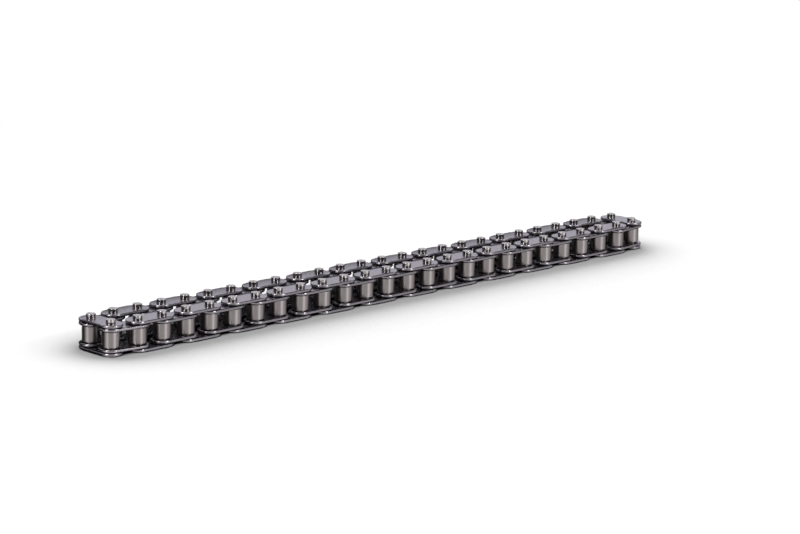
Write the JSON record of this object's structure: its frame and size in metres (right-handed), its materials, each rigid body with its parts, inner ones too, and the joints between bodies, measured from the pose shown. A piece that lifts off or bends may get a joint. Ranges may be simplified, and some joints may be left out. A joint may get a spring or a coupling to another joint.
{
  "type": "oil pump drive chain",
  "caption": "Endless single-strand roller chain for an engine's oil pump, lying on its side as a collapsed loop of pivoting outer and inner links.",
  "frame": {"origin": "centre of the loop, in the plane of the lower pin ends", "axes": "+X along the two strands, +Y from the front strand to the back strand, +Z along the pins, up as it lies on its side"},
  "size_m": [0.2062, 0.0162, 0.0094],
  "materials": {
    "plate_steel": "satin stamped steel",
    "pin_steel": "ground steel",
    "bush_steel": "satin steel",
    "roller_steel": "ground steel",
    "link_steel": "satin steel"
  },
  "bodies": {
    "outer_link_01": {"outer_link_01_lower_plate": "plate_steel", "outer_link_01_upper_plate": "plate_steel", "outer_link_01_back_pin": "pin_steel", "outer_link_01_front_pin": "pin_steel"},
    "inner_link_01": {"inner_link_01_lower_plate": "plate_steel", "inner_link_01_upper_plate": "plate_steel", "inner_link_01_first_bush": "bush_steel", "inner_link_01_second_bush": "bush_steel"},
    "inner_link_01_first_roller": {"inner_link_01_first_roller": "roller_steel"},
    "inner_link_01_second_roller": {"inner_link_01_second_roller": "roller_steel"},
    "outer_link_02": {"outer_link_02": "link_steel"},
    "inner_link_02": {"inner_link_02": "link_steel"},
    "outer_link_03": {"outer_link_03": "link_steel"},
    "inner_link_03": {"inner_link_03": "link_steel"},
    "outer_link_04": {"outer_link_04": "link_steel"},
    "inner_link_04": {"inner_link_04": "link_steel"},
    "outer_link_05": {"outer_link_05": "link_steel"},
    "inner_link_05": {"inner_link_05": "link_steel"},
    "outer_link_06": {"outer_link_06": "link_steel"},
    "inner_link_06": {"inner_link_06": "link_steel"},
    "outer_link_07": {"outer_link_07": "link_steel"},
    "inner_link_07": {"inner_link_07": "link_steel"},
    "outer_link_08": {"outer_link_08": "link_steel"},
    "inner_link_08": {"inner_link_08": "link_steel"},
    "outer_link_09": {"outer_link_09": "link_steel"},
    "inner_link_09": {"inner_link_09": "link_steel"},
    "outer_link_10": {"outer_link_10": "link_steel"},
    "inner_link_10": {"inner_link_10": "link_steel"},
    "outer_link_11": {"outer_link_11": "link_steel"},
    "inner_link_11": {"inner_link_11": "link_steel"},
    "outer_link_12": {"outer_link_12": "link_steel"},
    "inner_link_12": {"inner_link_12": "link_steel"},
    "outer_link_13": {"outer_link_13": "link_steel"},
    "inner_link_13": {"inner_link_13": "link_steel"},
    "outer_link_14": {"outer_link_14": "link_steel"},
    "inner_link_14": {"inner_link_14": "link_steel"},
    "outer_link_15": {"outer_link_15": "link_steel"},
    "inner_link_15": {"inner_link_15": "link_steel"},
    "outer_link_16": {"outer_link_16": "link_steel"},
    "inner_link_16": {"inner_link_16": "link_steel"},
    "outer_link_17": {"outer_link_17": "link_steel"},
    "inner_link_17": {"inner_link_17": "link_steel"},
    "outer_link_18": {"outer_link_18": "link_steel"},
    "inner_link_18": {"inner_link_18": "link_steel"},
    "outer_link_19": {"outer_link_19": "link_steel"},
    "inner_link_19": {"inner_link_19": "link_steel"},
    "outer_link_20": {"outer_link_20": "link_steel"},
    "inner_link_20": {"inner_link_20": "link_steel"},
    "outer_link_21": {"outer_link_21": "link_steel"},
    "inner_link_21": {"inner_link_21": "link_steel"},
    "outer_link_22": {"outer_link_22": "link_steel"},
    "inner_link_22": {"inner_link_22": "link_steel"},
    "outer_link_23": {"outer_link_23": "link_steel"},
    "inner_link_23": {"inner_link_23": "link_steel"},
    "outer_link_24": {"outer_link_24": "link_steel"},
    "inner_link_24": {"inner_link_24": "link_steel"},
    "outer_link_25": {"outer_link_25": "link_steel"},
    "inner_link_25": {"inner_link_25": "link_steel"},
    "outer_link_26": {"outer_link_26": "link_steel"},
    "inner_link_26": {"inner_link_26": "link_steel"}
  },
  "joints": [
    {"name": "pivot_15", "type": "hinge", "parent": "inner_link_07", "child": "outer_link_08", "pos_m": [0.004, -0.00492, 0], "axis": [0, 0, 1], "range_deg": [0, 6.92]},
    {"name": "pivot_16", "type": "hinge", "parent": "outer_link_08", "child": "inner_link_08", "pos_m": [0.012, -0.00492, 0], "axis": [0, 0, 1], "range_deg": [0, 6.92]},
    {"name": "pivot_17", "type": "hinge", "parent": "inner_link_08", "child": "outer_link_09", "pos_m": [0.02, -0.00492, 0], "axis": [0, 0, 1], "range_deg": [0, 6.92]},
    {"name": "pivot_18", "type": "hinge", "parent": "outer_link_09", "child": "inner_link_09", "pos_m": [0.028, -0.00492, 0], "axis": [0, 0, 1], "range_deg": [0, 6.92]},
    {"name": "pivot_19", "type": "hinge", "parent": "inner_link_09", "child": "outer_link_10", "pos_m": [0.036, -0.00492, 0], "axis": [0, 0, 1], "range_deg": [0, 6.92]},
    {"name": "pivot_20", "type": "hinge", "parent": "outer_link_10", "child": "inner_link_10", "pos_m": [0.044, -0.00492, 0], "axis": [0, 0, 1], "range_deg": [0, 6.92]},
    {"name": "pivot_21", "type": "hinge", "parent": "inner_link_10", "child": "outer_link_11", "pos_m": [0.052, -0.00492, 0], "axis": [0, 0, 1], "range_deg": [0, 6.92]},
    {"name": "pivot_22", "type": "hinge", "parent": "outer_link_11", "child": "inner_link_11", "pos_m": [0.06, -0.00492, 0], "axis": [0, 0, 1], "range_deg": [0, 6.92]},
    {"name": "pivot_23", "type": "hinge", "parent": "inner_link_11", "child": "outer_link_12", "pos_m": [0.068, -0.00492, 0], "axis": [0, 0, 1], "range_deg": [0, 6.92]},
    {"name": "pivot_24", "type": "hinge", "parent": "outer_link_12", "child": "inner_link_12", "pos_m": [0.076, -0.00492, 0], "axis": [0, 0, 1], "range_deg": [0, 6.92]},
    {"name": "pivot_25", "type": "hinge", "parent": "inner_link_12", "child": "outer_link_13", "pos_m": [0.084, -0.00492, 0], "axis": [0, 0, 1], "range_deg": [0, 6.92]},
    {"name": "pivot_26", "type": "hinge", "parent": "outer_link_13", "child": "inner_link_13", "pos_m": [0.092, -0.00492, 0], "axis": [0, 0, 1], "range_deg": [0, 0.2834]},
    {"name": "pivot_27", "type": "hinge", "parent": "inner_link_13", "child": "outer_link_14", "pos_m": [0.09995, -0.004, 0], "axis": [0, 0, 1], "range_deg": [-76.44, 0]},
    {"name": "pivot_28", "type": "hinge", "parent": "outer_link_14", "child": "inner_link_14", "pos_m": [0.09995, 0.004, 0], "axis": [0, 0, 1], "range_deg": [-76.44, 0]},
    {"name": "pivot_29", "type": "hinge", "parent": "inner_link_14", "child": "outer_link_15", "pos_m": [0.092, 0.00492, 0], "axis": [0, 0, 1], "range_deg": [0, 0.2834]},
    {"name": "pivot_30", "type": "hinge", "parent": "outer_link_15", "child": "inner_link_15", "pos_m": [0.084, 0.00492, 0], "axis": [0, 0, 1], "range_deg": [0, 6.92]},
    {"name": "pivot_31", "type": "hinge", "parent": "inner_link_15", "child": "outer_link_16", "pos_m": [0.076, 0.00492, 0], "axis": [0, 0, 1], "range_deg": [0, 6.92]},
    {"name": "pivot_32", "type": "hinge", "parent": "outer_link_16", "child": "inner_link_16", "pos_m": [0.068, 0.00492, 0], "axis": [0, 0, 1], "range_deg": [0, 6.92]},
    {"name": "pivot_33", "type": "hinge", "parent": "inner_link_16", "child": "outer_link_17", "pos_m": [0.06, 0.00492, 0], "axis": [0, 0, 1], "range_deg": [0, 6.92]},
    {"name": "pivot_34", "type": "hinge", "parent": "outer_link_17", "child": "inner_link_17", "pos_m": [0.052, 0.00492, 0], "axis": [0, 0, 1], "range_deg": [0, 6.92]},
    {"name": "pivot_35", "type": "hinge", "parent": "inner_link_17", "child": "outer_link_18", "pos_m": [0.044, 0.00492, 0], "axis": [0, 0, 1], "range_deg": [0, 6.92]},
    {"name": "pivot_36", "type": "hinge", "parent": "outer_link_18", "child": "inner_link_18", "pos_m": [0.036, 0.00492, 0], "axis": [0, 0, 1], "range_deg": [0, 6.92]},
    {"name": "pivot_37", "type": "hinge", "parent": "inner_link_18", "child": "outer_link_19", "pos_m": [0.028, 0.00492, 0], "axis": [0, 0, 1], "range_deg": [0, 6.92]},
    {"name": "pivot_38", "type": "hinge", "parent": "outer_link_19", "child": "inner_link_19", "pos_m": [0.02, 0.00492, 0], "axis": [0, 0, 1], "range_deg": [0, 6.92]},
    {"name": "pivot_39", "type": "hinge", "parent": "inner_link_19", "child": "outer_link_20", "pos_m": [0.012, 0.00492, 0], "axis": [0, 0, 1], "range_deg": [0, 6.92]},
    {"name": "pivot_40", "type": "hinge", "parent": "outer_link_20", "child": "inner_link_20", "pos_m": [0.004, 0.00492, 0], "axis": [0, 0, 1], "range_deg": [0, 6.92]},
    {"name": "pivot_14", "type": "hinge", "parent": "inner_link_07", "child": "outer_link_07", "pos_m": [-0.004, -0.00492, 0], "axis": [0, 0, 1], "range_deg": [-6.92, 0]},
    {"name": "pivot_13", "type": "hinge", "parent": "outer_link_07", "child": "inner_link_06", "pos_m": [-0.012, -0.00492, 0], "axis": [0, 0, 1], "range_deg": [-6.92, 0]},
    {"name": "pivot_12", "type": "hinge", "parent": "inner_link_06", "child": "outer_link_06", "pos_m": [-0.02, -0.00492, 0], "axis": [0, 0, 1], "range_deg": [-6.92, 0]},
    {"name": "pivot_11", "type": "hinge", "parent": "outer_link_06", "child": "inner_link_05", "pos_m": [-0.028, -0.00492, 0], "axis": [0, 0, 1], "range_deg": [-6.92, 0]},
    {"name": "pivot_10", "type": "hinge", "parent": "inner_link_05", "child": "outer_link_05", "pos_m": [-0.036, -0.00492, 0], "axis": [0, 0, 1], "range_deg": [-6.92, 0]},
    {"name": "pivot_09", "type": "hinge", "parent": "outer_link_05", "child": "inner_link_04", "pos_m": [-0.044, -0.00492, 0], "axis": [0, 0, 1], "range_deg": [-6.92, 0]},
    {"name": "pivot_08", "type": "hinge", "parent": "inner_link_04", "child": "outer_link_04", "pos_m": [-0.052, -0.00492, 0], "axis": [0, 0, 1], "range_deg": [-6.92, 0]},
    {"name": "pivot_07", "type": "hinge", "parent": "outer_link_04", "child": "inner_link_03", "pos_m": [-0.06, -0.00492, 0], "axis": [0, 0, 1], "range_deg": [-6.92, 0]},
    {"name": "pivot_06", "type": "hinge", "parent": "inner_link_03", "child": "outer_link_03", "pos_m": [-0.068, -0.00492, 0], "axis": [0, 0, 1], "range_deg": [-6.92, 0]},
    {"name": "pivot_05", "type": "hinge", "parent": "outer_link_03", "child": "inner_link_02", "pos_m": [-0.076, -0.00492, 0], "axis": [0, 0, 1], "range_deg": [-6.92, 0]},
    {"name": "pivot_04", "type": "hinge", "parent": "inner_link_02", "child": "outer_link_02", "pos_m": [-0.084, -0.00492, 0], "axis": [0, 0, 1], "range_deg": [-6.92, 0]},
    {"name": "pivot_03", "type": "hinge", "parent": "outer_link_02", "child": "inner_link_01", "pos_m": [-0.092, -0.00492, 0], "axis": [0, 0, 1], "range_deg": [-0.2834, 0]},
    {"name": "pivot_02", "type": "hinge", "parent": "inner_link_01", "child": "outer_link_01", "pos_m": [-0.09995, -0.004, 0], "axis": [0, 0, 1], "range_deg": [0, 76.44]},
    {"name": "pivot_01", "type": "hinge", "parent": "outer_link_01", "child": "inner_link_26", "pos_m": [-0.09995, 0.004, 0], "axis": [0, 0, 1], "range_deg": [0, 76.44]},
    {"name": "pivot_52", "type": "hinge", "parent": "inner_link_26", "child": "outer_link_26", "pos_m": [-0.092, 0.00492, 0], "axis": [0, 0, 1], "range_deg": [-0.2834, 0]},
    {"name": "pivot_51", "type": "hinge", "parent": "outer_link_26", "child": "inner_link_25", "pos_m": [-0.084, 0.00492, 0], "axis": [0, 0, 1], "range_deg": [-6.92, 0]},
    {"name": "pivot_50", "type": "hinge", "parent": "inner_link_25", "child": "outer_link_25", "pos_m": [-0.076, 0.00492, 0], "axis": [0, 0, 1], "range_deg": [-6.92, 0]},
    {"name": "pivot_49", "type": "hinge", "parent": "outer_link_25", "child": "inner_link_24", "pos_m": [-0.068, 0.00492, 0], "axis": [0, 0, 1], "range_deg": [-6.92, 0]},
    {"name": "pivot_48", "type": "hinge", "parent": "inner_link_24", "child": "outer_link_24", "pos_m": [-0.06, 0.00492, 0], "axis": [0, 0, 1], "range_deg": [-6.92, 0]},
    {"name": "pivot_47", "type": "hinge", "parent": "outer_link_24", "child": "inner_link_23", "pos_m": [-0.052, 0.00492, 0], "axis": [0, 0, 1], "range_deg": [-6.92, 0]},
    {"name": "pivot_46", "type": "hinge", "parent": "inner_link_23", "child": "outer_link_23", "pos_m": [-0.044, 0.00492, 0], "axis": [0, 0, 1], "range_deg": [-6.92, 0]},
    {"name": "pivot_45", "type": "hinge", "parent": "outer_link_23", "child": "inner_link_22", "pos_m": [-0.036, 0.00492, 0], "axis": [0, 0, 1], "range_deg": [-6.92, 0]},
    {"name": "pivot_44", "type": "hinge", "parent": "inner_link_22", "child": "outer_link_22", "pos_m": [-0.028, 0.00492, 0], "axis": [0, 0, 1], "range_deg": [-6.92, 0]},
    {"name": "pivot_43", "type": "hinge", "parent": "outer_link_22", "child": "inner_link_21", "pos_m": [-0.02, 0.00492, 0], "axis": [0, 0, 1], "range_deg": [-6.92, 0]},
    {"name": "pivot_42", "type": "hinge", "parent": "inner_link_21", "child": "outer_link_21", "pos_m": [-0.012, 0.00492, 0], "axis": [0, 0, 1], "range_deg": [-6.92, 0]},
    {"name": "first_roller_spin", "type": "hinge", "parent": "inner_link_01", "child": "inner_link_01_first_roller", "pos_m": [-0.09995, -0.004, 0], "axis": [0, 0, 1], "continuous": true},
    {"name": "second_roller_spin", "type": "hinge", "parent": "inner_link_01", "child": "inner_link_01_second_roller", "pos_m": [-0.092, -0.00492, 0], "axis": [0, 0, 1], "continuous": true}
  ],
  "couplings": [
    {"joint": "pivot_16", "follows": "pivot_15", "ratio": 1},
    {"joint": "pivot_17", "follows": "pivot_15", "ratio": 1},
    {"joint": "pivot_18", "follows": "pivot_15", "ratio": 1},
    {"joint": "pivot_19", "follows": "pivot_15", "ratio": 1},
    {"joint": "pivot_20", "follows": "pivot_15", "ratio": 1},
    {"joint": "pivot_21", "follows": "pivot_15", "ratio": 1},
    {"joint": "pivot_22", "follows": "pivot_15", "ratio": 1},
    {"joint": "pivot_23", "follows": "pivot_15", "ratio": 1},
    {"joint": "pivot_24", "follows": "pivot_15", "ratio": 1},
    {"joint": "pivot_25", "follows": "pivot_15", "ratio": 1},
    {"joint": "pivot_26", "follows": "pivot_15", "ratio": 0.040936},
    {"joint": "pivot_27", "follows": "pivot_15", "ratio": -11.041},
    {"joint": "pivot_28", "follows": "pivot_15", "ratio": -11.041},
    {"joint": "pivot_29", "follows": "pivot_15", "ratio": 0.040936},
    {"joint": "pivot_30", "follows": "pivot_15", "ratio": 1},
    {"joint": "pivot_31", "follows": "pivot_15", "ratio": 1},
    {"joint": "pivot_32", "follows": "pivot_15", "ratio": 1},
    {"joint": "pivot_33", "follows": "pivot_15", "ratio": 1},
    {"joint": "pivot_34", "follows": "pivot_15", "ratio": 1},
    {"joint": "pivot_35", "follows": "pivot_15", "ratio": 1},
    {"joint": "pivot_36", "follows": "pivot_15", "ratio": 1},
    {"joint": "pivot_37", "follows": "pivot_15", "ratio": 1},
    {"joint": "pivot_38", "follows": "pivot_15", "ratio": 1},
    {"joint": "pivot_39", "follows": "pivot_15", "ratio": 1},
    {"joint": "pivot_40", "follows": "pivot_15", "ratio": 1},
    {"joint": "pivot_14", "follows": "pivot_15", "ratio": -1},
    {"joint": "pivot_13", "follows": "pivot_15", "ratio": -1},
    {"joint": "pivot_12", "follows": "pivot_15", "ratio": -1},
    {"joint": "pivot_11", "follows": "pivot_15", "ratio": -1},
    {"joint": "pivot_10", "follows": "pivot_15", "ratio": -1},
    {"joint": "pivot_09", "follows": "pivot_15", "ratio": -1},
    {"joint": "pivot_08", "follows": "pivot_15", "ratio": -1},
    {"joint": "pivot_07", "follows": "pivot_15", "ratio": -1},
    {"joint": "pivot_06", "follows": "pivot_15", "ratio": -1},
    {"joint": "pivot_05", "follows": "pivot_15", "ratio": -1},
    {"joint": "pivot_04", "follows": "pivot_15", "ratio": -1},
    {"joint": "pivot_03", "follows": "pivot_15", "ratio": -0.040936},
    {"joint": "pivot_02", "follows": "pivot_15", "ratio": 11.041},
    {"joint": "pivot_01", "follows": "pivot_15", "ratio": 11.041},
    {"joint": "pivot_52", "follows": "pivot_15", "ratio": -0.040936},
    {"joint": "pivot_51", "follows": "pivot_15", "ratio": -1},
    {"joint": "pivot_50", "follows": "pivot_15", "ratio": -1},
    {"joint": "pivot_49", "follows": "pivot_15", "ratio": -1},
    {"joint": "pivot_48", "follows": "pivot_15", "ratio": -1},
    {"joint": "pivot_47", "follows": "pivot_15", "ratio": -1},
    {"joint": "pivot_46", "follows": "pivot_15", "ratio": -1},
    {"joint": "pivot_45", "follows": "pivot_15", "ratio": -1},
    {"joint": "pivot_44", "follows": "pivot_15", "ratio": -1},
    {"joint": "pivot_43", "follows": "pivot_15", "ratio": -1},
    {"joint": "pivot_42", "follows": "pivot_15", "ratio": -1}
  ]
}
